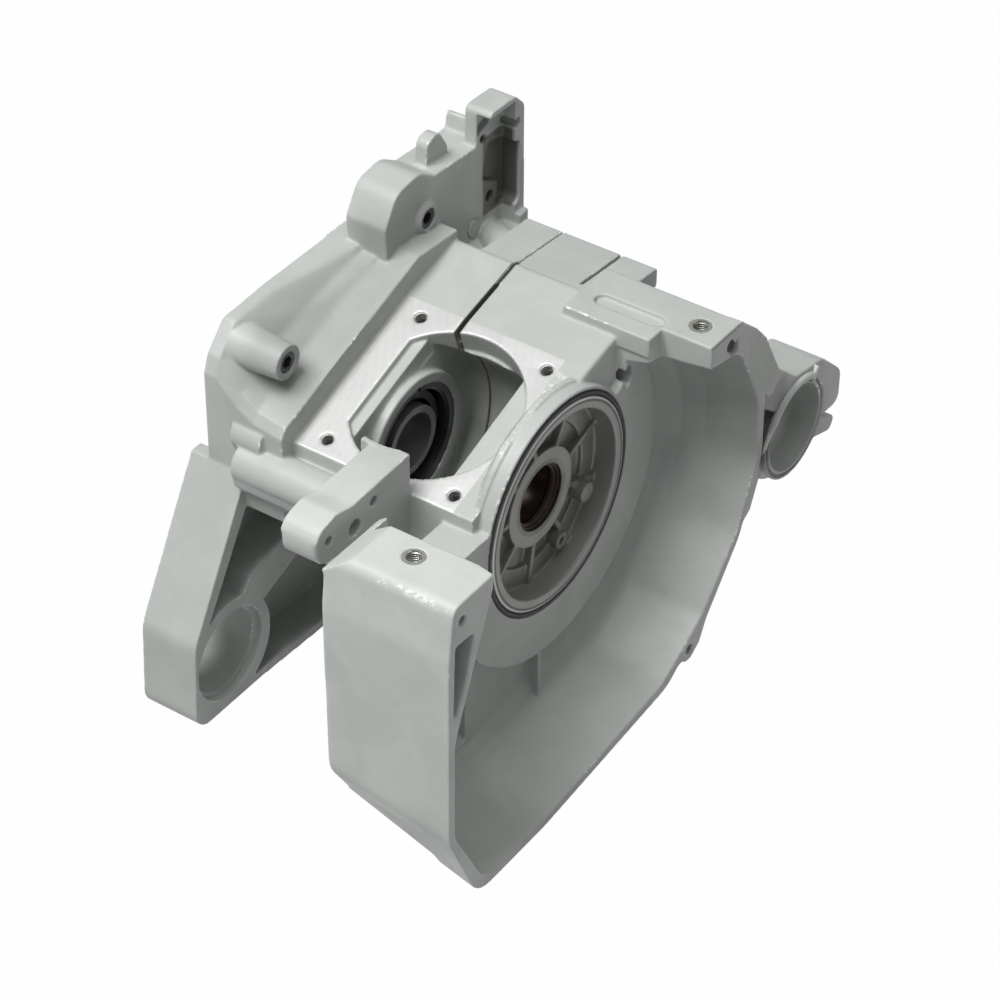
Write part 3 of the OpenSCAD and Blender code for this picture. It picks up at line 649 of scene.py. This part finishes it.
def makeRingBead():
    work = bmesh.new()
    rows = []
    for degrees in range(bead["from"], bead["to"] + 1, bead["step"]):
        angle = math.radians(degrees)
        left = min(1.0, (bead["to"] - degrees) / bead["fade"] + bead["least"])
        points = [ringPoint(r, angle, bead["foot"] + (x - bead["foot"]) * left) for r, x in bead["profile"]]
        rows.append([work.verts.new(point) for point in points])
    closedSweep(work, rows)
    angle = math.radians(bead["from"])
    near, far = bead["hook"]
    levels = []
    for x, slim in bead["hookLevels"]:
        half = bead["hookHalf"] * slim
        corners = ((near, -half), (far, -half), (far, half), (near, half))
        levels.append([work.verts.new(ringPoint(r, angle, x, aside)) for r, aside in corners])
    closedSweep(work, levels)
    bmesh.ops.recalc_face_normals(work, faces=work.faces)
    data = bpy.data.meshes.new("ringBead")
    work.to_mesh(data)
    work.free()
    data.materials.append(finishes["beadPaint"])
    for polygon in data.polygons:
        polygon.use_smooth = len(polygon.vertices) == 4
    piece = newPiece("ringBead", data)
    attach(piece, "crankcase")
    print("ringBead", len(data.polygons), "faces")


makeRingBead()
print("ring bead ready")


# threads cut into the screw holes

threadCut = {
    "turnSteps": 20, "ridgeSides": 4, "ridge": 0.42, "pitch": 0.001, "seatFoot": 0.0095,
    "seatRadius": 0.00262, "seatLength": 0.0088, "insertRadius": 0.00335, "insertLength": 0.0066,
}


def makeCoilNodes():
    tree = bpy.data.node_groups.new("threadCoil", "GeometryNodeTree")
    for label, value in {"Radius": 0.0026, "Length": 0.01, "Pitch": 0.001, "Ridge": 0.0004}.items():
        socket = tree.interface.new_socket(name=label, in_out="INPUT", socket_type="NodeSocketFloat")
        socket.default_value = value
    tree.interface.new_socket(name="Material", in_out="INPUT", socket_type="NodeSocketMaterial")
    tree.interface.new_socket(name="Geometry", in_out="OUTPUT", socket_type="NodeSocketGeometry")
    ins = addNode(tree, "NodeGroupInput", (-700, 0))
    outs = addNode(tree, "NodeGroupOutput", (500, 0))
    turns = mathNode(tree, "DIVIDE", ins.outputs["Length"], ins.outputs["Pitch"])
    spiral = addNode(tree, "GeometryNodeCurveSpiral")
    spiral.inputs["Resolution"].default_value = threadCut["turnSteps"]
    plug(tree, turns, spiral.inputs["Rotations"])
    plug(tree, ins.outputs["Radius"], spiral.inputs["Start Radius"])
    plug(tree, ins.outputs["Radius"], spiral.inputs["End Radius"])
    plug(tree, ins.outputs["Length"], spiral.inputs["Height"])
    profile = addNode(tree, "GeometryNodeCurvePrimitiveCircle")
    profile.inputs["Resolution"].default_value = threadCut["ridgeSides"]
    plug(tree, ins.outputs["Ridge"], profile.inputs["Radius"])
    sweep = addNode(tree, "GeometryNodeCurveToMesh")
    sweep.inputs["Fill Caps"].default_value = True
    plug(tree, spiral.outputs[0], sweep.inputs["Curve"])
    plug(tree, profile.outputs[0], sweep.inputs["Profile Curve"])
    real = addNode(tree, "GeometryNodeRealizeInstances")
    coat = addNode(tree, "GeometryNodeSetMaterial")
    plug(tree, sweep.outputs[0], real.inputs[0])
    plug(tree, real.outputs[0], coat.inputs["Geometry"])
    plug(tree, ins.outputs["Material"], coat.inputs["Material"])
    plug(tree, coat.outputs[0], outs.inputs[0])
    return tree


coilNodes = makeCoilNodes()


def coilMesh(values):
    holder = bpy.data.objects.new("coilHolder", bpy.data.meshes.new("coilHolder"))
    scene.collection.objects.link(holder)
    grow = holder.modifiers.new("coil", "NODES")
    grow.node_group = coilNodes
    for item in coilNodes.interface.items_tree:
        if item.in_out == "INPUT":
            grow[item.identifier] = values[item.name]
    graph = bpy.context.evaluated_depsgraph_get()
    mesh = bpy.data.meshes.new_from_object(holder.evaluated_get(graph))
    holder.modifiers.clear()
    bpy.data.objects.remove(holder)
    return mesh


def placeThreads(pieceName, finish, holes):
    whole = bmesh.new()
    material = finishes[finish]
    pitch = threadCut["pitch"]
    for hole in holes:
        mesh = coilMesh({
            "Radius": hole["radius"], "Length": hole["length"], "Pitch": pitch,
            "Ridge": pitch * threadCut["ridge"], "Material": material,
        })
        turn = Vector((0, 0, 1)).rotation_difference(Vector(hole["axis"])).to_matrix().to_4x4()
        turn.translation = Vector(hole["at"])
        mesh.transform(turn)
        whole.from_mesh(mesh)
        bpy.data.meshes.remove(mesh)
    data = bpy.data.meshes.new(pieceName)
    whole.to_mesh(data)
    whole.free()
    data.materials.clear()
    data.materials.append(material)
    piece = newPiece(pieceName, data)
    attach(piece, "crankcase")
    print(pieceName, len(data.polygons), "faces")


def seatHole(sideX, sideY):
    # a screw hole of the cylinder seat: its thread starts below the seat and runs up along its normal
    x = sideX * seat["screwX"]
    along = sideY * seat["screwY"]
    up = seat["height"] - threadCut["seatFoot"]
    foot = Vector((x, 0.0, 0.0)) + along * Vector(seatAlong) + up * Vector(seatNormal)
    return {
        "at": foot, "axis": seatNormal, "radius": threadCut["seatRadius"], "length": threadCut["seatLength"],
    }


def insertHole(at):
    return {
        "at": at, "axis": (0, 0, 1), "radius": threadCut["insertRadius"], "length": threadCut["insertLength"],
    }


inserts = {"box": (0.0543, -0.1022, 0.0378), "bar": (0.0719, 0.0654, 0.0508)}
placeThreads("clutchSideThreads", "cutThread", [seatHole(-1, -1), seatHole(-1, 1)])
placeThreads("fanSideThreads", "cutThread", [seatHole(1, -1), seatHole(1, 1)])
placeThreads("insertThreads", "insertMetal", [insertHole(at) for at in inserts.values()])
print("threads ready")


# camera, floor and light

view = {
    "at": (0.61655, -0.86271, 0.82761), "turn": (51.34377, -0.39022, 34.8929), "lens": 120.778,
    "sensor": 36.0, "far": 20.0,
}
camera = bpy.data.objects.new("camera", bpy.data.cameras.new("camera"))
scene.collection.objects.link(camera)
camera.location = view["at"]
camera.rotation_euler = [math.radians(a) for a in view["turn"]]
camera.data.lens = view["lens"]
camera.data.sensor_width = view["sensor"]
camera.data.clip_end = view["far"]
scene.camera = camera

stage = {"gap": 0.0002, "half": 3.0, "white": 0.985, "bounce": 0.4, "ambient": 0.215}


def makeFloorMaterial():
    # pale to the camera, and darker as a source of bounced light
    material = bpy.data.materials.new("paleFloor")
    material.use_nodes = True
    tree = material.node_tree
    tree.nodes.clear()
    out = addNode(tree, "ShaderNodeOutputMaterial")
    diffuse = addNode(tree, "ShaderNodeBsdfDiffuse")
    diffuse.inputs["Color"].default_value = (stage["bounce"], stage["bounce"], stage["bounce"], 1)
    glow = addNode(tree, "ShaderNodeEmission")
    glow.inputs["Color"].default_value = (1, 1, 1, 1)
    path = addNode(tree, "ShaderNodeLightPath")
    mirrored = most(tree, path.outputs["Is Glossy Ray"], path.outputs["Is Transmission Ray"])
    seen = most(tree, path.outputs["Is Camera Ray"], mirrored)
    mix = addNode(tree, "ShaderNodeMixShader")
    plug(tree, times(tree, seen, stage["white"]), mix.inputs[0])
    plug(tree, diffuse.outputs[0], mix.inputs[1])
    plug(tree, glow.outputs[0], mix.inputs[2])
    plug(tree, mix.outputs[0], out.inputs[0])
    return material


floorMesh = bpy.data.meshes.new("floor")
half = stage["half"]
floorZ = cadBox[0][2] - stage["gap"]
floorMesh.from_pydata(
    [(x * half, y * half, floorZ) for x, y in ((-1, -1), (1, -1), (1, 1), (-1, 1))], [], [(0, 1, 2, 3)])
floor = bpy.data.objects.new("floor", floorMesh)
scene.collection.objects.link(floor)
floorMesh.materials.append(makeFloorMaterial())

world = bpy.data.worlds.new("studio")
scene.world = world
world.use_nodes = True
worldTree = world.node_tree
back = worldTree.nodes["Background"]
back.inputs["Color"].default_value = (1, 1, 1, 1)
path = addNode(worldTree, "ShaderNodeLightPath")
seen = most(worldTree, path.outputs["Is Camera Ray"], path.outputs["Is Transmission Ray"])
strength = plus(worldTree, times(worldTree, seen, 1.0 - stage["ambient"]), stage["ambient"])
plug(worldTree, strength, back.inputs["Strength"])

lamps = {
    "keyLight": {"at": (-0.3, -0.8, 1.62), "power": 33.5, "size": 0.9},
    "topLight": {"at": (0.32, -0.12, 1.6), "power": 5.0, "size": 1.0},
}
for name, lamp in lamps.items():
    data = bpy.data.lights.new(name, "AREA")
    data.energy = lamp["power"]
    data.size = lamp["size"]
    light = bpy.data.objects.new(name, data)
    scene.collection.objects.link(light)
    light.location = lamp["at"]
    light.rotation_euler = (-Vector(lamp["at"])).to_track_quat("-Z", "Y").to_euler()

scene.view_settings.view_transform = "Standard"
print("stage ready")
